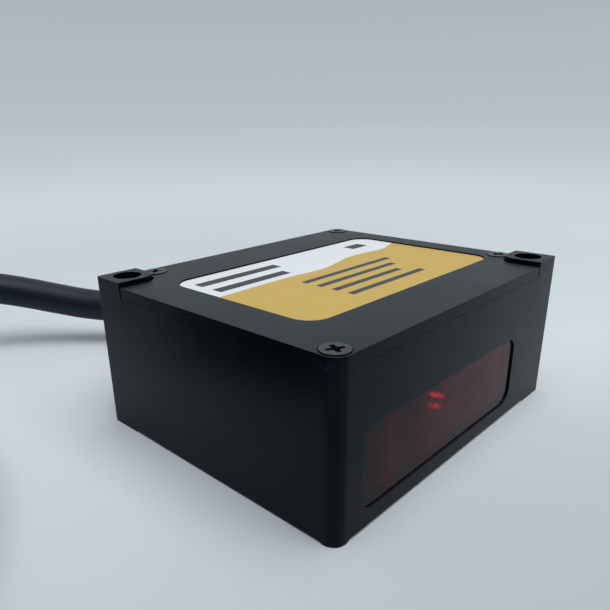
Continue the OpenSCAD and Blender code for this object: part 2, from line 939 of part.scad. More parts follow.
// Places of the two sensor-board screws: local Z points back out of the wall
module sensor_screw_place(s) {
  receiver_frame()
    translate([s * sensor_screw_x, image_distance + sensor_wall_t, optic_z + sensor_screw_rise])
      rotate([-90, 0, 0])
        children();
}

module sensor_board() {
  low = bench_top_z + sensor_board_lift;
  color(board_green)
    difference() {
      receiver_frame()
        translate([-sensor_board_w / 2, image_distance + sensor_wall_t, low])
          cube([sensor_board_w, sensor_board_t, optic_z + sensor_wall_rise - low]);
      for (s = [-1, 1])
        sensor_screw_place(s)
          translate([0, 0, -over])
            cylinder(d = sensor_screw_d + 2 * fit_gap, h = sensor_board_t + 2 * over);
    }
}

module sensor_screws() {
  color(steel)
    for (s = [-1, 1])
      sensor_screw_place(s)
        translate([0, 0, sensor_board_t]) {
          cylinder(d = sensor_head_d, h = sensor_head_h);
          translate([0, 0, -sensor_screw_l])
            cylinder(d = sensor_screw_d, h = sensor_screw_l + sensor_head_h / 2);
        }
}

// Flat lead from the sensor board up to the underside of the main board
module flex_lead() {
  flex_drop = board_z - optic_z - sensor_wall_rise + flex_overlap;
  color([0.62, 0.42, 0.18])
    receiver_frame()
      translate([-flex_w / 2, image_distance + sensor_wall_t + sensor_board_t, board_z])
        rotate([90, 0, 90])
          linear_extrude(flex_w) {
            translate([0, -flex_drop])
              square([flex_t, flex_drop]);
            translate([0, -flex_t])
              square([flex_run, flex_t]);
          }
}

module main_board() {
  color(board_green)
    translate([0, 0, board_z])
      linear_extrude(board_t)
        difference() {
          cavity_plan(board_gap);
          for (p = post_at)
            translate(p)
              circle(d = screw_d + 2 * fit_gap);
        }
}

module board_screws() {
  color(steel)
    for (p = post_at)
      translate([p.x, p.y, board_z + board_t])
        pan_screw(board_screw_l);
}

module processor() {
  color([0.1, 0.1, 0.11])
    translate([processor_x, processor_y, board_z + board_t])
      linear_extrude(processor_t)
        rounded_rect(processor_w, processor_w, processor_r);
}

module board_parts() {
  color([0.14, 0.14, 0.15])
    for (p = part_list)
      translate([p[0].x - p[1] / 2, p[0].y - p[2] / 2, board_z + board_t])
        cube([p[1], p[2], p[3]]);
}

module board_connector() {
  color([0.88, 0.86, 0.78])
    translate([gland_x - connector_w / 2, connector_y, board_z - connector_h])
      cube([connector_w, connector_d, connector_h]);
}

// Cores from the end of the lead's jacket to the connector
module inner_leads() {
  from_y = cable_start_y;
  to = [gland_x, connector_y + connector_d, board_z - connector_h / 2];
  color([0.55, 0.2, 0.15])
    for (k = [0:core_count - 1]) {
      a = core_angles[k];
      from_x = gland_x + core_ring_r * cos(a);
      from_z = cable_z + core_ring_r * sin(a);
      to_x = to.x + core_pitch * (k - (core_count - 1) / 2);
      path = [
        for (i = [0:core_steps])
          let (t = i / core_steps, e = ease(min(1, max(0, (t - core_straight) / (1 - 2 * core_straight)))))
          [from_x + e * (to_x - from_x), from_y + t * (to.y - from_y), from_z + e * (to.z - from_z)]
      ];
      sweep(path, core_d / 2, core_sides);
    }
}

module cable_gland() {
  color(trim_black)
    along_gland()
      difference() {
        union() {
          translate([0, 0, -gland_neck_l])
            cylinder(d = gland_neck_d, h = gland_neck_l + gland_seal_t + gland_flange_t);
          translate([0, 0, gland_seal_t])
            cylinder(d = gland_flange_d, h = gland_flange_t);
        }
        translate([0, 0, -gland_neck_l - over])
          cylinder(d = cable_d + 2 * fit_gap, h = gland_neck_l + gland_flange_t + 3 * over);
      }
}

module gland_nut() {
  color(steel)
    along_gland()
      translate([0, 0, -wall - gland_nut_t])
        difference() {
          cylinder(d = gland_nut_w / cos(30), h = gland_nut_t, $fn = 6);
          translate([0, 0, -over])
            cylinder(d = gland_neck_d + 2 * fit_gap, h = gland_nut_t + 2 * over);
        }
}

module gland_seal() {
  color(trim_black)
    along_gland()
      difference() {
        cylinder(d = gland_flange_d, h = gland_seal_t);
        translate([0, 0, -over])
          cylinder(d = gland_neck_d + 2 * fit_gap, h = gland_seal_t + 2 * over);
      }
}

// Tapered sleeve with flexing grooves
module strain_relief() {
  groove_pitch = relief_l / (relief_grooves + 1);
  color(trim_black)
    along_gland()
      translate([0, 0, relief_start_y - back_y])
        difference() {
          cylinder(d1 = relief_d, d2 = relief_end_d, h = relief_l);
          translate([0, 0, -over])
            cylinder(d = cable_d + 2 * fit_gap, h = relief_l + 2 * over);
          for (k = [1:relief_grooves])
            translate([0, 0, k * groove_pitch - groove_w / 2])
              difference() {
                cylinder(d = relief_d + over, h = groove_w);
                cylinder(d = relief_d + (relief_end_d - relief_d) * k / (relief_grooves + 1)
                  - 2 * groove_depth, h = groove_w);
              }
        }
}

module cable() {
  color([0.12, 0.12, 0.13])
    sweep(cable_route, cable_d / 2, cable_sides);
}

// Section of some columns and rows of turns
module turn_block(col_from, col_to, z_from, z_to) {
  w = (col_to - col_from) * coil_d;
  h = z_to - z_from;
  translate([coil_in_r + col_from * coil_d + w / 2, z_from + h / 2])
    rounded_rect(w, h, coil_edge_r);
}

module cable_coil() {
  color([0.12, 0.12, 0.13])
    translate([coil_at.x, coil_at.y, 0])
      difference() {
        union() {
          rotate_extrude()
            turn_block(0, 3, coil_base, coil_layer_z);
          rotate_extrude()
            turn_block(2, 3, coil_layer_z - coil_d / 2, coil_top_z);
          rotate(last_turn_start)
            rotate_extrude(angle = last_turn_angle)
              turn_block(1, 3, coil_layer_z - coil_d / 2, coil_top_z);
        }
        translate([0, coil_out_r - coil_d - fit_gap, coil_base - over])
          cube([lead_in_l, coil_d + over, coil_d + over + fit_gap]);
        translate([coil_d / 2, coil_out_r - coil_d - fit_gap, coil_base])
          cube([lead_in_l, coil_d + over, coil_layer_z - coil_base]);
      }
}

// Band round the stepped bundle of turns
module tie_band() {
  slant = tie_t * (sqrt(2) - 1);
  in_r = coil_in_r - tie_gap;
  step_r = in_r + coil_d;
  difference() {
    polygon([
      [in_r - tie_t, coil_base - tie_t], [coil_out_r + tie_t, coil_base - tie_t],
      [coil_out_r + tie_t, coil_top_z + tie_t], [step_r - slant, coil_top_z + tie_t],
      [in_r - tie_t, coil_layer_z + slant]
    ]);
    polygon([
      [in_r, coil_base], [coil_out_r, coil_base], [coil_out_r, coil_top_z],
      [step_r, coil_top_z], [in_r, coil_layer_z]
    ]);
  }
}

module coil_ties() {
  color(trim_black)
    translate([coil_at.x, coil_at.y, 0])
      for (a = tie_angles)
        rotate([90, 0, a])
          translate([0, 0, -tie_w / 2])
            linear_extrude(tie_w)
              tie_band();
}

// Path of one free core: it leaves the jacket's end and settles on the layer of turns below
function lead_angle(k) = (lead_l - lead_stagger * (k % 3)) / coil_mid_r * 180 / PI;
function lead_point(k, t) =
  let (
    a = last_turn_start + last_turn_angle + lead_start + t * lead_angle(k),
    e = ease(min(1, 2 * t)),
    r = coil_mid_r - lead_inset * ease(min(1, t)) + lead_pitch * (k - (core_count - 1) / 2),
    z = coil_layer_z + core_d / 2 + (1 - e) * (coil_d - core_d) / 2 + fit_gap
  )
  [coil_at.x + r * cos(a), coil_at.y + r * sin(a), z];

module lead_wires() {
  color([0.35, 0.3, 0.5])
    for (k = [0:core_count - 1])
      sweep([for (i = [0:lead_rings]) lead_point(k, i / lead_rings)], core_d / 2, core_sides);
}

module lead_tips() {
  color([0.8, 0.8, 0.78])
    for (k = [0:core_count - 1])
      sweep([for (i = [0:tip_rings]) lead_point(k, tip_start + i * tip_step)], tip_d / 2, core_sides);
}

housing();
top_cover();
cover_gasket();
cover_screws();
label();
window_pane();
window_seal();
optical_bench();
bench_screws();
light_baffle();
set_screws();
laser_barrel();
laser_diode();
collimator_lens();
lens_rings();
laser_board();
receiver_barrel();
receiver_lens();
image_sensor();
sensor_board();
sensor_screws();
flex_lead();
main_board();
board_screws();
processor();
board_parts();
board_connector();
inner_leads();
cable_gland();
gland_nut();
gland_seal();
strain_relief();
cable();
cable_coil();
coil_ties();
lead_wires();
lead_tips();
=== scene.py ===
import json
import math

import bpy
from mathutils import Matrix, Vector

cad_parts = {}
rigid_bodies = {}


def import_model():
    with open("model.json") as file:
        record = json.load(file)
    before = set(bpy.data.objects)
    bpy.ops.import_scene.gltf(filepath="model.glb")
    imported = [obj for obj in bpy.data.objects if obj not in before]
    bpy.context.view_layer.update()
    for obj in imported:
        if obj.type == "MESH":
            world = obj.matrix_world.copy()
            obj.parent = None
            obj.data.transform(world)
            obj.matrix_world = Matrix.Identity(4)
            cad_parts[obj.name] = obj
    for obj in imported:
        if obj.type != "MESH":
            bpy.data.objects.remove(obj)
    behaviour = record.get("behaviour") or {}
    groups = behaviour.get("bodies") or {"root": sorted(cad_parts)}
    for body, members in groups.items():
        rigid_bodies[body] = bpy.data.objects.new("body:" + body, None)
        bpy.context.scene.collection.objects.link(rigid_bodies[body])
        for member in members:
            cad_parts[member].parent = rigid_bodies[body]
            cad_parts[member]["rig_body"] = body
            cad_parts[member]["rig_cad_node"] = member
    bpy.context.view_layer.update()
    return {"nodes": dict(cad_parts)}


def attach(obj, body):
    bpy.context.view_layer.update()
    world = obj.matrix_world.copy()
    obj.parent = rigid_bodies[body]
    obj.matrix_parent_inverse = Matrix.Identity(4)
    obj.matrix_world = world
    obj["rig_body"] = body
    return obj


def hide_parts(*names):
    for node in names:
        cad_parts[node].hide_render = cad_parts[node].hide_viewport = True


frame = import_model()
nodes = frame["nodes"]
mm = 0.001
print("frame loaded:", len(nodes), "nodes")


# camera at the photograph's place: sizes in millimetres and degrees, clip distances in metres
cameraSetup = {
    "place": (-74.10, -60.39, 49.17),
    "yaw": 43.47,
    "pitch": 20.695,
    "roll": -0.855,
    "lens": 34.097,
    "sensor": 36,
    "shift": (0.0159, 0.0533),
    "clip": (0.004, 20),
}


def addCamera(setup):
    yaw, pitch, roll = (math.radians(setup[key]) for key in ("yaw", "pitch", "roll"))
    level = math.cos(pitch)
    ahead = Vector((math.cos(yaw) * level, math.sin(yaw) * level, -math.sin(pitch)))
    side = ahead.cross(Vector((0, 0, 1))).normalized()
    top = side.cross(ahead)
    right = side * math.cos(roll) + top * math.sin(roll)
    up = top * math.cos(roll) - side * math.sin(roll)
    bpy.ops.object.camera_add()
    camera = bpy.context.object
    camera.name = "photoCamera"
    place = Matrix((right, up, -ahead)).transposed().to_4x4()
    place.translation = Vector(setup["place"]) * mm
    camera.matrix_world = place
    camera.data.lens = setup["lens"]
    camera.data.sensor_width = setup["sensor"]
    camera.data.shift_x, camera.data.shift_y = setup["shift"]
    camera.data.clip_start, camera.data.clip_end = setup["clip"]
    bpy.context.scene.camera = camera


bpy.ops.object.select_all(action="DESELECT")
addCamera(cameraSetup)
print("camera placed")


# small helpers for shader graphs
def newMaterial(name):
    mat = bpy.data.materials.new(name)
    mat.use_nodes = True
    mat.node_tree.nodes.clear()
    out = mat.node_tree.nodes.new("ShaderNodeOutputMaterial")
    bsdf = mat.node_tree.nodes.new("ShaderNodeBsdfPrincipled")
    mat.node_tree.links.new(bsdf.outputs[0], out.inputs[0])
    return mat, mat.node_tree, bsdf


def addNode(tree, kind, values=None, **settings):
    node = tree.nodes.new(kind)
    for key, value in settings.items():
        setattr(node, key, value)
    for key, value in (values or {}).items():
        if isinstance(value, bpy.types.NodeSocket):
            tree.links.new(value, node.inputs[key])
        else:
            node.inputs[key].default_value = value
    return node


def mathNode(tree, operation, a, b=0.0, c=0.0):
    return addNode(tree, "ShaderNodeMath", {0: a, 1: b, 2: c}, operation=operation).outputs[0]


def vectorMath(tree, operation, a, b=(0, 0, 0), output="Value"):
    return addNode(tree, "ShaderNodeVectorMath", {0: a, 1: b}, operation=operation).outputs[output]


def largest(tree, values):
    best = values[0]
    for value in values[1:]:
        best = mathNode(tree, "MAXIMUM", best, value)
    return best


def mapRange(tree, value, low, high, toLow=0.0, toHigh=1.0, shape="LINEAR"):
    ends = {"Value": value, 1: low, 2: high, 3: toLow, 4: toHigh}
    return addNode(tree, "ShaderNodeMapRange", ends, interpolation_type=shape).outputs[0]


def mixColour(tree, factor, a, b):
    node = addNode(tree, "ShaderNodeMix", data_type="RGBA")
    for index, value in ((0, factor), (6, a), (7, b)):
        if isinstance(value, bpy.types.NodeSocket):
            tree.links.new(value, node.inputs[index])
        else:
            node.inputs[index].default_value = value if index == 0 else (*value, 1)
    return node.outputs[2]


def colourRamp(tree, factor, stops, interpolation="LINEAR"):
    node = addNode(tree, "ShaderNodeValToRGB", {0: factor})
    ramp = node.color_ramp
    ramp.interpolation = interpolation
    while len(ramp.elements) < len(stops):
        ramp.elements.new(0.5)
    for element, (place, colour) in zip(ramp.elements, stops):
        element.position = place
        element.color = (*colour, 1)
    return node.outputs[0]


def objectCoords(tree):
    return addNode(tree, "ShaderNodeTexCoord").outputs["Object"]


def axisOf(tree, vector, axis):
    return addNode(tree, "ShaderNodeSeparateXYZ", {0: vector}).outputs[axis]


def noise(tree, coords, scale, detail, **more):
    values = {"Vector": coords, "Scale": scale, "Detail": detail, **more}
    return addNode(tree, "ShaderNodeTexNoise", values).outputs["Fac"]


# roughness that changes over the piece between two ends; gives back the noise behind it
def unevenRough(tree, bsdf, coords, spec):
    cloud = noise(tree, coords, spec["scale"], spec["detail"])
    tree.links.new(mapRange(tree, cloud, 0.0, 1.0, *spec["rough"]), bsdf.inputs["Roughness"])
    return cloud


def addRelief(tree, bsdf, height, strength, depth):
    values = {"Strength": strength, "Distance": depth * mm, "Height": height}
    tree.links.new(addNode(tree, "ShaderNodeBump", values).outputs[0], bsdf.inputs["Normal"])


# grain of moulded and blasted surfaces: colour, roughness and height that change over the piece
grainLook = {
    "fineDetail": 2.0,
    "fineRoughness": 0.6,
    "broadDetail": 4.0,
    "broadRoughness": 0.55,
    # levels of the broad noise at which patches start and are full, and its middle
    "patchFrom": 0.3,
    "patchTo": 0.7,
    "middle": 0.5,
    # the broad noise keeps to about a quarter either side of its middle
    "swing": 4.0,
    # specks of dust: noise scale as a share of the grain's, levels at which they start and are full, colour
    # and added roughness
    "speckScale": 0.45,
    "speckDetail": 1.0,
    "speckFrom": 0.68,
    "speckTo": 0.74,
    "dust": (0.45, 0.46, 0.47),
    "dustRough": 0.3,
}


def buildGrainGroup(look):
    group = bpy.data.node_groups.new("surfaceGrain", "ShaderNodeTree")
    face = group.interface
    for name, kind, value in (
        ("Colour", "NodeSocketColor", (0.1, 0.1, 0.1, 1)),
        ("Tint", "NodeSocketColor", (0.2, 0.2, 0.2, 1)),
        ("Grain Size", "NodeSocketFloat", 0.2),
        ("Patch Size", "NodeSocketFloat", 8.0),
        ("Patch Amount", "NodeSocketFloat", 0.3),
        ("Roughness", "NodeSocketFloat", 0.4),
        ("Roughness Spread", "NodeSocketFloat", 0.08),
        ("Dust", "NodeSocketFloat", 0.0),
    ):
        face.new_socket(name, in_out="INPUT", socket_type=kind).default_value = value
    face.new_socket("Colour", in_out="OUTPUT", socket_type="NodeSocketColor")
    face.new_socket("Roughness", in_out="OUTPUT", socket_type="NodeSocketFloat")
    face.new_socket("Height", in_out="OUTPUT", socket_type="NodeSocketFloat")
    given = group.nodes.new("NodeGroupInput").outputs
    made = group.nodes.new("NodeGroupOutput").inputs
    coords = objectCoords(group)
    perGrain = mathNode(group, "DIVIDE", 1 / mm, given["Grain Size"])
    perPatch = mathNode(group, "DIVIDE", 1 / mm, given["Patch Size"])
    perSpeck = mathNode(group, "MULTIPLY", perGrain, look["speckScale"])
    fine = noise(group, coords, perGrain, look["fineDetail"], Roughness=look["fineRoughness"])
    broad = noise(group, coords, perPatch, look["broadDetail"], Roughness=look["broadRoughness"])
    specks = noise(group, coords, perSpeck, look["speckDetail"])
    patch = mapRange(group, broad, look["patchFrom"], look["patchTo"])
    patch = mathNode(group, "MULTIPLY", patch, given["Patch Amount"])
    colour = mixColour(group, patch, given["Colour"], given["Tint"])
    dust = mapRange(group, specks, look["speckFrom"], look["speckTo"])
    dust = mathNode(group, "MULTIPLY", dust, given["Dust"])
    swing = mathNode(group, "SUBTRACT", broad, look["middle"])
    swing = mathNode(group, "MULTIPLY", swing, given["Roughness Spread"])
    rough = mathNode(group, "MULTIPLY_ADD", swing, look["swing"], given["Roughness"])
    rough = mathNode(group, "MULTIPLY_ADD", dust, look["dustRough"], rough)
    group.links.new(mixColour(group, dust, colour, look["dust"]), made["Colour"])
    group.links.new(rough, made["Roughness"])
    group.links.new(fine, made["Height"])
    return group


grainGroup = buildGrainGroup(grainLook)


def finishMaterial(name, colour, tint, rough, metal=0.0, grain=0.2, patch=8.0, patchAmount=0.4,
                   spread=0.05, bump=0.15, bumpDepth=0.02, dust=0.0, specular=0.5, film=None):
    mat, tree, bsdf = newMaterial(name)
    group = addNode(tree, "ShaderNodeGroup", {
        "Colour": (*colour, 1), "Tint": (*tint, 1), "Grain Size": grain, "Patch Size": patch,
        "Patch Amount": patchAmount, "Roughness": rough, "Roughness Spread": spread, "Dust": dust,
    }, node_tree=grainGroup)
    shown, uneven = group.outputs["Colour"], group.outputs["Roughness"]
    bsdf.inputs["Metallic"].default_value = metal
    bsdf.inputs["Specular IOR Level"].default_value = specular
    if film:
        # faces that look up carry a matt film, and their lighter colour there is painted light from above
        normal = addNode(tree, "ShaderNodeNewGeometry").outputs["True Normal"]
        upward = mapRange(tree, axisOf(tree, normal, "Z"), film["from"], film["to"])
        shown = mixColour(tree, mathNode(tree, "MULTIPLY", upward, film["paintedLightShare"]), shown, film["colour"])
        uneven = mathNode(tree, "MULTIPLY_ADD", upward, film["rough"], uneven)
        gloss = mathNode(tree, "MULTIPLY_ADD", upward, film["specular"], specular)
        tree.links.new(gloss, bsdf.inputs["Specular IOR Level"])
    tree.links.new(shown, bsdf.inputs["Base Color"])
    tree.links.new(uneven, bsdf.inputs["Roughness"])
    addRelief(tree, bsdf, group.outputs["Height"], bump, bumpDepth)
    return mat


def setMaterial(obj, mat):
    obj.data.materials.clear()
    obj.data.materials.append(mat)


# cleaning and shading of rounded copies: merge distance in metres, angles in degrees, weight of large faces
rounding = {"merge": 1e-6, "flat": 0.6, "sharp": 35, "smooth": 40, "weight": 100}


# edges of the machined and moulded pieces: a copy of the node with its edges rounded over
def roundedCopy(nodeName, name, width, segments=2):
    bpy.ops.object.select_all(action="DESELECT")
    obj = nodes[nodeName].copy()
    obj.data = nodes[nodeName].data.copy()
    obj.name = obj.data.name = name
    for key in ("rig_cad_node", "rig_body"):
        if key in obj:
            del obj[key]
    obj.parent = None
    bpy.context.scene.collection.objects.link(obj)
    obj.select_set(True)
    bpy.context.view_layer.objects.active = obj
    bpy.ops.object.mode_set(mode="EDIT")
    bpy.ops.mesh.select_all(action="SELECT")
    bpy.ops.mesh.remove_doubles(threshold=rounding["merge"])
    bpy.ops.mesh.dissolve_limited(angle_limit=math.radians(rounding["flat"]))
    bpy.ops.object.mode_set(mode="OBJECT")
    edge = obj.modifiers.new("edgeRound", "BEVEL")
    edge.width = width * mm
    edge.segments = segments
    edge.limit_method = "ANGLE"
    edge.angle_limit = math.radians(rounding["sharp"])
    edge.use_clamp_overlap = True
    edge.miter_outer = "MITER_ARC"
    bpy.ops.object.modifier_apply(modifier=edge.name)
    bpy.ops.object.shade_smooth_by_angle(angle=math.radians(rounding["smooth"]))
    even = obj.modifiers.new("evenShade", "WEIGHTED_NORMAL")
    even.keep_sharp = True
    even.weight = rounding["weight"]
    bpy.ops.object.modifier_apply(modifier=even.name)
    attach(obj, "root")
    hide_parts(nodeName)
    return obj


# gland and sleeve at the back
gland = {
    "black": (0.012, 0.012, 0.013),
    "grey": (0.026, 0.026, 0.028),
    "rough": 0.5,
    "edge": 0.3,
    "edgeSegments": 3,
    "sleeveEdge": 0.18,
}
glandPlastic = finishMaterial("glandPlastic", gland["black"], gland["grey"], gland["rough"],
                              grain=0.25, patch=6, spread=0.06, bump=0.3, dust=0.03)
glandBody = roundedCopy("cable_gland", "glandBody", gland["edge"], segments=gland["edgeSegments"])
flexSleeve = roundedCopy("strain_relief", "flexSleeve", gland["sleeveEdge"])
for piece in (glandBody, flexSleeve):
    setMaterial(piece, glandPlastic)
print("gland rounded")


# the lead: route as in the part's source, then the turns of its coil, in millimetres and degrees
lead = {
    "diameter": 7.0,
    "route": [
        (0, 18, 10), (0, 25, 10), (0, 32, 10), (0, 39, 10), (-1.2, 46, 9.4), (-4.1, 52.7, 8.8),
        (-8.2, 58.8, 8.6), (-12.9, 64.3, 9.2), (-17.7, 69.3, 10.6), (-22.7, 73.7, 12.3),
        (-28.1, 77.5, 13.9), (-34, 80.5, 15.2), (-40.4, 82.5, 16.1), (-47.1, 83.3, 16.4),
        (-54, 82.9, 15.9), (-60.8, 81.5, 14.6), (-67.5, 79.2, 12.5), (-74.2, 76.6, 9.9),
        (-81, 74.2, 7.3), (-88.5, 72.5, 5.2), (-96.5, 72, 4.3), (-104, 72, 4.3),
    ],
    "coilCentre": (-104, 26.5),
    "coilStart": 90,
    "base": 0.8,
    # radius, row, and degrees into the turn at which it starts to move over to the next
    "turns": [
        (45.5, 0, 245), (38.5, 0, 245), (31.5, 0, 225), (31.5, 1, 205),
        (38.5, 1, 205), (45.5, 1, 185), (45.5, 2, 165), (38.5, 2, 165),
    ],
    "moveOver": 115,
    "lastTurn": 165,
    "stepsPerTurn": 24,
    "stepsRound": 6,
    "stepsAlong": 5,
    # length in metres
    "length": 2.0,
    "exit": (0, 38.1, 10),
    "jacket": (0.0060, 0.0105, 0.0195),
    "sheen": (0.0095, 0.0150, 0.0260),
    "rough": 0.46,
    "specular": 0.23,
}


def ease(t):
    return t * t * (3 - 2 * t)


def coilPoints(spec):
    d = spec["diameter"]
    cx, cy = spec["coilCentre"]
    points = []
    for k, (radius, row, moveAt) in enumerate(spec["turns"]):
        last = k == len(spec["turns"]) - 1
        turn = spec["lastTurn"] if last else 360
        nextRadius, nextRow = spec["turns"][k if last else k + 1][:2]
        count = round(spec["stepsPerTurn"] * turn / 360)
        for i in range(1, count + 1):
            a = turn * i / count
            t = ease(min(1.0, max(0.0, (a - moveAt) / spec["moveOver"])))
            r = radius + (nextRadius - radius) * t
            z = spec["base"] + d / 2 + d * (row + (nextRow - row) * t)
            b = math.radians(spec["coilStart"] + a)
            points.append((cx + r * math.cos(b), cy + r * math.sin(b), z))
    return points


def makeLead(spec):
    points = [Vector(p) * mm for p in spec["route"] + coilPoints(spec)]
    curve = bpy.data.curves.new("leadCord", "CURVE")
    curve.dimensions = "3D"
    curve.bevel_depth = spec["diameter"] / 2 * mm
    curve.bevel_resolution = spec["stepsRound"]
    curve.resolution_u = spec["stepsAlong"]
    curve.use_fill_caps = True
    spline = curve.splines.new("BEZIER")
    spline.bezier_points.add(len(points) - 1)
    for knot, p in zip(spline.bezier_points, points):
        knot.co = p
        knot.handle_left_type = knot.handle_right_type = "AUTO"
    obj = bpy.data.objects.new("leadCord", curve)
    bpy.context.scene.collection.objects.link(obj)
    setMaterial(obj, finishMaterial("leadJacket", spec["jacket"], spec["sheen"], spec["rough"], grain=0.35,
                                    patch=5, patchAmount=0.6, spread=0.05, bump=0.2, dust=0.03,
                                    specular=spec["specular"]))
    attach(obj, "root")
    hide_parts("cable", "cable_coil")
    print("lead made")


makeLead(lead)


# smooth black housing and cover, with a thin matt film on the faces that look up, whose lighter colour there
# is painted light from above
body = {
    "edge": 0.18,
    "black": (0.0016, 0.0042, 0.0080),
    "worn": (0.0030, 0.0070, 0.0125),
    "rough": 0.25,
    "specular": 0.09,
    # share and colour of the painted light from above on the faces that look up, what the matt film adds to
    # roughness and specular, and the upward tilts between which it sets in
    "film": {
        "paintedLightShare": 0.68,
        "colour": (0.0150, 0.0198, 0.0240),
        "rough": 0.16,
        "specular": 0.025,
        "from": 0.6,
        "to": 0.95,
    },
}
blackBody = finishMaterial("blackAnodised", body["black"], body["worn"], body["rough"], grain=0.16, patch=14,
                           patchAmount=0.6, spread=0.04, bump=0.25, bumpDepth=0.012, dust=0.02,
                           specular=body["specular"], film=body["film"])
for node, name in (("housing", "housingShell"), ("top_cover", "coverPlate")):
    piece = roundedCopy(node, name, body["edge"])
    setMaterial(piece, blackBody)
print("housing and cover rounded")


# blackened screws
screwFinish = {"steel": (0.03, 0.031, 0.033), "bright": (0.07, 0.07, 0.072), "rough": 0.34, "edge": 0.06}
blackScrew = finishMaterial("blackenedScrew", screwFinish["steel"], screwFinish["bright"],
                            screwFinish["rough"], metal=0.85, grain=0.1, patch=1.2, patchAmount=0.5,
                            spread=0.1, bump=0.2, bumpDepth=0.01)
coverScrews = roundedCopy("cover_screws", "coverScrews", screwFinish["edge"])
setMaterial(coverScrews, blackScrew)
print("screws rounded")


# printed label: two fields of colour with plain bars
labelPrint = {
    "white": (0.765, 0.795, 0.815),
    "gold": (0.575, 0.385, 0.082),
    "ink": (0.03, 0.03, 0.032),
    "specular": 0.2,
    # edge between the fields: x and y in millimetres, and the y that is the top of its curve
    "border": [
        (-24, 3.3), (-19, 3.5), (-7, 3.5), (-1, 3.0), (5, 4.0),
        (10, 5.2), (15, 5.1), (19, 4.6), (23, 5.5), (26, 6.6),
    ],
    "borderTop": 10.0,
    # bars: left, right, first row's middle, row pitch, bar height, rows
    "bars": [
        (-21.0, -3.5, 10.7, 4.4, 2.1, 2),
        (-9.0, 14.0, -0.7, 3.1, 1.25, 4),
        (16.0, 20.5, 10.1, 3.6, 2.6, 1),
    ],
    # rows end raggedly: step from row to row, and the largest share of the length that is cut off
    "raggedStep": 0.62,
    "raggedShare": 0.25,
    # print film
    "scale": 160.0,
    "detail": 3.0,
    "rough": (0.36, 0.5),
    "bump": 0.1,
    "bumpDepth": 0.02,
}


def buildBarsGroup(spec):
    group = bpy.data.node_groups.new("printedBars", "ShaderNodeTree")
    for name in ("X", "Y", "Left", "Right", "Top", "Pitch", "Height", "Rows"):
        group.interface.new_socket(name, in_out="INPUT", socket_type="NodeSocketFloat")
    group.interface.new_socket("Mask", in_out="OUTPUT", socket_type="NodeSocketFloat")
    given = group.nodes.new("NodeGroupInput").outputs
    made = group.nodes.new("NodeGroupOutput").inputs

    def work(operation, a, b=0.0):
        return mathNode(group, operation, a, b)

    # rows down from the first, and whether the point is within a bar's height of a row that exists
    down = work("DIVIDE", work("SUBTRACT", given["Top"], given["Y"]), given["Pitch"])
    row = work("ROUND", down)
    off = work("ABSOLUTE", work("SUBTRACT", down, row))
    half = work("DIVIDE", work("MULTIPLY", given["Height"], 0.5), given["Pitch"])
    inRow = work("LESS_THAN", off, half)
    inRow = work("MULTIPLY", inRow, work("GREATER_THAN", row, -0.5))
    inRow = work("MULTIPLY", inRow, work("LESS_THAN", row, work("SUBTRACT", given["Rows"], 0.5)))
    # whether it is between the bar's ends
    cut = work("PINGPONG", work("MULTIPLY", row, spec["raggedStep"]), spec["raggedShare"])
    short = work("MULTIPLY", cut, work("SUBTRACT", given["Right"], given["Left"]))
    inside = work("GREATER_THAN", given["X"], given["Left"])
    inside = work("MULTIPLY", inside, work("LESS_THAN", given["X"], work("SUBTRACT", given["Right"], short)))
    group.links.new(work("MULTIPLY", inRow, inside), made["Mask"])
    return group


def makeLabelMaterial(spec):
    mat, tree, bsdf = newMaterial("labelPrint")
    coords = objectCoords(tree)
    x = mathNode(tree, "MULTIPLY", axisOf(tree, coords, "X"), 1 / mm)
    y = mathNode(tree, "MULTIPLY", axisOf(tree, coords, "Y"), 1 / mm)
    low, high = spec["border"][0][0], spec["border"][-1][0]
    line = addNode(tree, "ShaderNodeFloatCurve", {"Value": mapRange(tree, x, low, high)})
    curve = line.mapping.curves[0]
    places = [((px - low) / (high - low), py / spec["borderTop"]) for px, py in spec["border"]]
    curve.points[0].location = places[0]
    curve.points[-1].location = places[-1]
    for place in places[1:-1]:
        curve.points.new(*place)
    line.mapping.update()
    edge = mathNode(tree, "MULTIPLY", line.outputs[0], spec["borderTop"])
    colour = mixColour(tree, mathNode(tree, "GREATER_THAN", y, edge), spec["gold"], spec["white"])
    bars = buildBarsGroup(spec)
    masks = []
    for left, right, top, pitch, height, rows in spec["bars"]:
        values = {"X": x, "Y": y, "Left": left, "Right": right, "Top": top, "Pitch": pitch,
                  "Height": height, "Rows": rows}
        masks.append(addNode(tree, "ShaderNodeGroup", values, node_tree=bars).outputs["Mask"])
    colour = mixColour(tree, largest(tree, masks), colour, spec["ink"])
    tree.links.new(colour, bsdf.inputs["Base Color"])
    bsdf.inputs["Specular IOR Level"].default_value = spec["specular"]
    film = unevenRough(tree, bsdf, coords, spec)
    addRelief(tree, bsdf, film, spec["bump"], spec["bumpDepth"])
    return mat


setMaterial(nodes["label"], makeLabelMaterial(labelPrint))
print("label printed")


# red window filter
windowGlass = {
    "red": (0.55, 0.008, 0.080),
    "ior": 1.22,
    "clear": 0.965,
    # depth of the tint along the pane, x in millimetres and share: painted light and shade of the inside seen
    # through the pane, dark at the left end and over a post, redder over a lit strip, lighter towards the
    # right
    "tint": [
        (-25, 0.25), (-20.6, 0.25), (-19.4, 1.1), (-16.8, 1.1),
        (-15.6, 0.4), (-12.2, 0.4), (-10.2, 0.78), (25, 1.1),
    ],
    # haze in the pane, and the share of the tint that it takes
    "scale": 130.0,
    "detail": 3.0,
    "rough": (0.03, 0.06),
    "cloudy": 0.3,
}


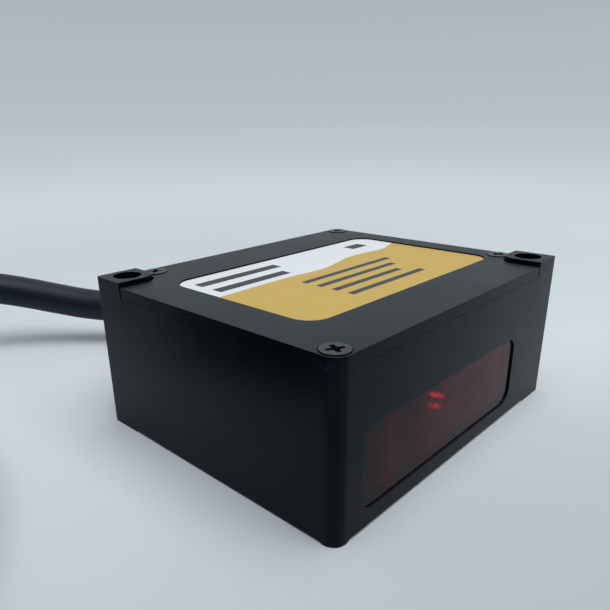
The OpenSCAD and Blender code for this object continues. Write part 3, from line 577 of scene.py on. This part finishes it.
def makeFilterMaterial(spec):
    mat, tree, bsdf = newMaterial("redFilter")
    coords = objectCoords(tree)
    haze = unevenRough(tree, bsdf, coords, spec)
    low, high = spec["tint"][0][0], spec["tint"][-1][0]
    along = mapRange(tree, axisOf(tree, coords, "X"), low * mm, high * mm)
    # painted light and shade: the tint's depth steps along the pane
    stops = [((x - low) / (high - low), tuple(share * c for c in spec["red"])) for x, share in spec["tint"]]
    cloudy = mathNode(tree, "MULTIPLY", haze, spec["cloudy"])
    tinted = mixColour(tree, cloudy, colourRamp(tree, along, stops), (0, 0, 0))
    tree.links.new(tinted, bsdf.inputs["Base Color"])
    bsdf.inputs["Transmission Weight"].default_value = spec["clear"]
    bsdf.inputs["IOR"].default_value = spec["ior"]
    return mat


setMaterial(nodes["window_pane"], makeFilterMaterial(windowGlass))
print("window glazed")


# plain finishes: colour, second colour, roughness, metal, grain, patch, and the nodes that wear them
finishes = {
    "gasketRubber": ((0.018, 0.018, 0.018), (0.03, 0.03, 0.03), 0.7, 0.0, 0.3, 4,
                     ("cover_gasket", "window_seal", "gland_seal")),
    "benchMetal": ((0.025, 0.025, 0.027), (0.04, 0.04, 0.042), 0.5, 0.0, 0.15, 5,
                   ("optical_bench", "receiver_barrel")),
    "platedGold": ((0.72, 0.53, 0.22), (0.82, 0.66, 0.36), 0.25, 1.0, 0.1, 2, ("laser_diode",)),
    "mattBlack": ((0.02, 0.02, 0.021), (0.04, 0.04, 0.042), 0.6, 0.0, 0.2, 5, ("light_baffle",)),
    "chipMoulding": ((0.03, 0.03, 0.032), (0.055, 0.055, 0.058), 0.55, 0.0, 0.15, 3,
                     ("image_sensor", "processor", "board_parts")),
    "flexFilm": ((0.46, 0.22, 0.05), (0.60, 0.34, 0.10), 0.32, 0.0, 0.3, 2, ("flex_lead",)),
    "connectorNylon": ((0.70, 0.67, 0.55), (0.78, 0.76, 0.66), 0.5, 0.0, 0.25, 4, ("board_connector",)),
    "tieNylon": ((0.016, 0.016, 0.017), (0.035, 0.035, 0.036), 0.42, 0.0, 0.3, 4, ("coil_ties",)),
    "tinnedCopper": ((0.66, 0.65, 0.62), (0.76, 0.75, 0.72), 0.35, 1.0, 0.15, 1.5, ("lead_tips",)),
}
for name, (colour, tint, rough, metal, grain, patch, wearers) in finishes.items():
    mat = finishMaterial(name, colour, tint, rough, metal=metal, grain=grain, patch=patch)
    for node in wearers:
        setMaterial(nodes[node], mat)
for node in ("bench_screws", "set_screws", "sensor_screws", "board_screws", "gland_nut"):
    setMaterial(nodes[node], blackScrew)
print("plain finishes set")


# blackened laser barrel and lens rings, with a painted red glint on the wall of the mouth: an emission
# standing in for the glints, though nothing there is a lamp
laserMouthAndGlint = {
    "black": (0.02, 0.02, 0.021),
    "scale": 2500.0,
    "detail": 2.0,
    "rough": (0.42, 0.58),
    "paintedGlintColour": (1.0, 0.03, 0.10),
    "strength": 1.25,
    # patches of painted glint: middle and half sizes in millimetres, and share of the strength
    "patches": [
        ((-0.2, -19.65, 8.5), (1.35, 1.45, 0.38), 1.0),
        ((0.3, -19.65, 6.9), (1.6, 1.5, 0.50), 0.95),
    ],
    # where a patch ends and where it is full, as shares of its half sizes
    "patchEnd": 1.2,
    "patchFull": 0.4,
}


def makeMouthMaterial(spec):
    mat, tree, bsdf = newMaterial("laserMouthAndGlint")
    coords = objectCoords(tree)
    unevenRough(tree, bsdf, coords, spec)
    bsdf.inputs["Base Color"].default_value = (*spec["black"], 1)
    paintedGlints = []
    for middle, half, share in spec["patches"]:
        values = {"Vector": coords, "Location": tuple(v * mm for v in middle),
                  "Scale": tuple(v * mm for v in half)}
        place = addNode(tree, "ShaderNodeMapping", values, vector_type="TEXTURE").outputs[0]
        away = vectorMath(tree, "LENGTH", place)
        paintedGlints.append(mapRange(tree, away, spec["patchEnd"], spec["patchFull"], toHigh=share))
    # painted glint: red emission over the patches
    lit = mixColour(tree, largest(tree, paintedGlints), (0, 0, 0), spec["paintedGlintColour"])
    tree.links.new(lit, bsdf.inputs["Emission Color"])
    bsdf.inputs["Emission Strength"].default_value = spec["strength"]
    return mat


mouthBlackAndGlint = makeMouthMaterial(laserMouthAndGlint)
for node in ("laser_barrel", "lens_rings"):
    setMaterial(nodes[node], mouthBlackAndGlint)


# lenses with a faint coating
lensGlass = {
    "blue": (0.80, 0.90, 0.95),
    "violet": (0.90, 0.86, 0.96),
    "scale": 220.0,
    "detail": 2.0,
    "rough": (0.01, 0.05),
    "clear": 0.9,
    "ior": 1.52,
}


def makeLensMaterial(spec):
    mat, tree, bsdf = newMaterial("coatedLens")
    coating = unevenRough(tree, bsdf, objectCoords(tree), spec)
    tree.links.new(mixColour(tree, coating, spec["blue"], spec["violet"]), bsdf.inputs["Base Color"])
    bsdf.inputs["Transmission Weight"].default_value = spec["clear"]
    bsdf.inputs["IOR"].default_value = spec["ior"]
    return mat


# green boards with lighter tracks
boardMask = {
    "mask": (0.012, 0.085, 0.04),
    "maskToo": (0.014, 0.10, 0.048),
    "track": (0.03, 0.17, 0.085),
    "trackScale": 420.0,
    "trackWidth": 0.08,
    "scale": 300.0,
    "detail": 3.0,
    "rough": (0.28, 0.45),
    "bump": 0.3,
    "bumpDepth": 0.03,
}


def makeBoardMaterial(spec):
    mat, tree, bsdf = newMaterial("boardMask")
    coords = objectCoords(tree)
    values = {"Vector": coords, "Scale": spec["trackScale"], "Mortar Size": spec["trackWidth"],
              "Color1": (*spec["mask"], 1), "Color2": (*spec["maskToo"], 1), "Mortar": (*spec["track"], 1)}
    tracks = addNode(tree, "ShaderNodeTexBrick", values).outputs
    tree.links.new(tracks["Color"], bsdf.inputs["Base Color"])
    unevenRough(tree, bsdf, coords, spec)
    addRelief(tree, bsdf, tracks["Fac"], spec["bump"], spec["bumpDepth"])
    return mat


# brown, white, blue, black, grey and red cores, each in one colour from end to end
coreColours = [
    (0.16, 0.06, 0.025), (0.72, 0.70, 0.66), (0.02, 0.08, 0.34),
    (0.015, 0.015, 0.016), (0.24, 0.24, 0.25), (0.36, 0.02, 0.02),
]
coreRough = 0.42

# free cores at the lead's end, as in the part's source: sizes in millimetres, start in degrees round the coil
freeCores = {
    "length": 42,
    # the cores have this many lengths in turn, each shorter by the stagger
    "lengths": 3,
    "stagger": 3,
    "inset": 4,
    "pitch": 1.15,
    "radius": lead["turns"][-1][0],
    # a tenth of a degree past the jacket's end
    "start": lead["coilStart"] + lead["lastTurn"] + 0.1,
    # a core's end may lie this much further on
    "past": 0.1,
}


# number of the free core whose route passes nearest
def nearestCore(place, spec):
    x, y = (place[i] / mm - lead["coilCentre"][i] for i in (0, 1))
    turned = (math.degrees(math.atan2(y, x)) - spec["start"] + 180) % 360 - 180
    along = max(0.0, math.radians(turned) * spec["radius"])

    def away(k):
        t = along / (spec["length"] - spec["stagger"] * (k % spec["lengths"]))
        if t > 1 + spec["past"] / spec["length"]:
            return math.inf
        middle = spec["radius"] + spec["pitch"] * (k - (len(coreColours) - 1) / 2)
        return abs(math.hypot(x, y) - middle + spec["inset"] * ease(min(1.0, t)))

    return min(range(len(coreColours)), key=away)


# number of the shell that each vertex is on, from left to right; vertices on one spot count as one
def shellNumbers(mesh):
    home = list(range(len(mesh.vertices)))

    def rootOf(i):
        while home[i] != i:
            home[i] = home[home[i]]
            i = home[i]
        return i

    firstAt = {}
    for v in mesh.vertices:
        spot = tuple(round(c / mm, 3) for c in v.co)
        home[rootOf(v.index)] = rootOf(firstAt.setdefault(spot, v.index))
    for edge in mesh.edges:
        home[rootOf(edge.vertices[0])] = rootOf(edge.vertices[1])
    shells = {}
    for v in mesh.vertices:
        shells.setdefault(rootOf(v.index), []).append(v.co.x)
    inOrder = sorted(shells, key=lambda shell: sum(shells[shell]) / len(shells[shell]))
    return [inOrder.index(rootOf(v.index)) for v in mesh.vertices]


def markCores(obj, coreOf):
    mark = obj.data.attributes.new("core", "FLOAT", "FACE")
    for face in obj.data.polygons:
        mark.data[face.index].value = (coreOf(face) + 0.5) / len(coreColours)


def makeCoreMaterial():
    mat, tree, bsdf = newMaterial("coreInsulation")
    core = addNode(tree, "ShaderNodeAttribute", attribute_name="core").outputs["Fac"]
    stops = [(k / len(coreColours), colour) for k, colour in enumerate(coreColours)]
    tree.links.new(colourRamp(tree, core, stops, "CONSTANT"), bsdf.inputs["Base Color"])
    bsdf.inputs["Roughness"].default_value = coreRough
    return mat


coatedLens, greenBoard = makeLensMaterial(lensGlass), makeBoardMaterial(boardMask)
for node in ("collimator_lens", "receiver_lens"):
    setMaterial(nodes[node], coatedLens)
for node in ("laser_board", "sensor_board", "main_board"):
    setMaterial(nodes[node], greenBoard)
coreInsulation = makeCoreMaterial()
innerNumbers = shellNumbers(nodes["inner_leads"].data)
markCores(nodes["inner_leads"], lambda face: innerNumbers[face.vertices[0]])
markCores(nodes["lead_wires"], lambda face: nearestCore(face.center, freeCores))
for node in ("inner_leads", "lead_wires"):
    setMaterial(nodes[node], coreInsulation)
print("inner pieces finished")


# pale floor that runs out into the studio's air
floorSetup = {
    "radius": 6.0,
    "corners": 96,
    "paper": (0.69, 0.745, 0.78),
    "specular": 0.15,
    # paper fibre
    "scale": 90.0,
    "detail": 4.0,
    "rough": (0.75, 0.9),
    # colour of the floor where the haze starts, and far off, where it meets the air
    "nearHaze": (0.70, 0.77, 0.82),
    "farHaze": (0.47, 0.525, 0.57),
    # the haze sets in between these distances, in metres, and goes over to its far colour from the third on
    "hazeFrom": 0.10,
    "hazeTo": 0.36,
    "hazeNear": 0.20,
    # painted shadow: the paper gets darker this way, between these distances in metres, down to this share,
    # standing in for the shade that falls on the floor in front of the piece and towards the camera
    "paintedShadeWay": (-0.3, -0.95, 0.0),
    "paintedShadeFrom": 0.0,
    "paintedShadeTo": 0.064,
    "paintedShadeShare": 0.72,
}

# the room on the camera's side is unlit, though pale when looked at: way to it, share of light left, and
# start and end of the fall
darkRoom = {"way": (-0.726, -0.688, 0.0), "left": 0.08, "from": -0.2, "to": 0.75}


def roomShare(tree, spec, ray):
    unit = vectorMath(tree, "NORMALIZE", ray, output="Vector")
    toRoom = vectorMath(tree, "DOT_PRODUCT", unit, spec["way"])
    share = mapRange(tree, toRoom, spec["from"], spec["to"], 1.0, spec["left"], "SMOOTHSTEP")
    return largest(tree, [share, addNode(tree, "ShaderNodeLightPath").outputs["Is Camera Ray"]])


# rays that end up in the picture, straight or by way of metal or glass
def seenRays(tree):
    path = addNode(tree, "ShaderNodeLightPath").outputs
    return largest(tree, [path[kind] for kind in ("Is Camera Ray", "Is Glossy Ray", "Is Transmission Ray")])


def makeFloor(spec):
    bpy.ops.object.select_all(action="DESELECT")
    bpy.ops.mesh.primitive_circle_add(vertices=spec["corners"], radius=spec["radius"], fill_type="NGON")
    floor = bpy.context.object
    floor.name = "paleFloor"
    mat, tree, bsdf = newMaterial("floorPaper")
    coords = objectCoords(tree)
    away = vectorMath(tree, "LENGTH", coords)
    # painted shadow: the paper's colour darkens towards the front
    ahead = vectorMath(tree, "DOT_PRODUCT", coords, spec["paintedShadeWay"])
    shadeMask = mapRange(tree, ahead, spec["paintedShadeFrom"], spec["paintedShadeTo"], shape="SMOOTHSTEP")
    paintedShadePaper = tuple(spec["paintedShadeShare"] * c for c in spec["paper"])
    tree.links.new(mixColour(tree, shadeMask, spec["paper"], paintedShadePaper), bsdf.inputs["Base Color"])
    unevenRough(tree, bsdf, coords, spec)
    bsdf.inputs["Specular IOR Level"].default_value = spec["specular"]
    # distant floor takes the colour of the air
    closeness = mathNode(tree, "MINIMUM", mathNode(tree, "DIVIDE", spec["hazeNear"], away), 1.0)
    haze = addNode(tree, "ShaderNodeEmission", {
        "Color": mixColour(tree, closeness, spec["farHaze"], spec["nearHaze"]),
        "Strength": roomShare(tree, darkRoom, coords),
    })
    reach = mapRange(tree, away, spec["hazeFrom"], spec["hazeTo"], shape="SMOOTHSTEP")
    hazy = mathNode(tree, "MULTIPLY", reach, seenRays(tree))
    both = addNode(tree, "ShaderNodeMixShader", {0: hazy, 1: bsdf.outputs[0], 2: haze.outputs[0]})
    out = next(n for n in tree.nodes if n.type == "OUTPUT_MATERIAL")
    tree.links.new(both.outputs[0], out.inputs[0])
    setMaterial(floor, mat)


# one large soft lamp, above and a little in front: places and size in metres, power in watts
topSoft = {
    "place": (-0.04, -0.18, 0.62),
    "aim": (-0.02, 0.03, 0.0),
    "size": 0.6,
    "power": 3.9,
    "colour": (0.965, 0.985, 1.0),
}


def addLamp(name, spec):
    bpy.ops.object.light_add(type="AREA")
    lamp = bpy.context.object
    lamp.name = name
    place, aim = Vector(spec["place"]), Vector(spec["aim"])
    lamp.location = place
    lamp.rotation_euler = (aim - place).to_track_quat("-Z", "Y").to_euler()
    lamp.data.size = spec["size"]
    lamp.data.energy = spec["power"]
    lamp.data.color = spec["colour"]


# soft even air: colour at the horizon, a little above it, and overhead, and what it gives as light
air = {
    "horizon": (0.47, 0.525, 0.57),
    "wall": (0.42, 0.465, 0.495),
    "top": (0.80, 0.86, 0.90),
    "wallAt": 0.17,
    "topAt": 0.38,
    "light": (0.36, 0.38, 0.40),
}


def setWorld(spec):
    world = bpy.data.worlds.new("studioAir")
    bpy.context.scene.world = world
    world.use_nodes = True
    tree = world.node_tree
    back = tree.nodes["Background"]
    ray = addNode(tree, "ShaderNodeTexCoord").outputs["Generated"]
    height = axisOf(tree, ray, "Z")
    toWall = mapRange(tree, height, 0.0, spec["wallAt"])
    toTop = mapRange(tree, height, spec["wallAt"], spec["topAt"])
    shown = mixColour(tree, toTop, mixColour(tree, toWall, spec["horizon"], spec["wall"]), spec["top"])
    tree.links.new(mixColour(tree, seenRays(tree), spec["light"], shown), back.inputs["Color"])
    tree.links.new(roomShare(tree, darkRoom, ray), back.inputs["Strength"])


makeFloor(floorSetup)
addLamp("topSoft", topSoft)
setWorld(air)
bpy.context.scene.view_settings.view_transform = "Standard"
print("stage and lamp set")
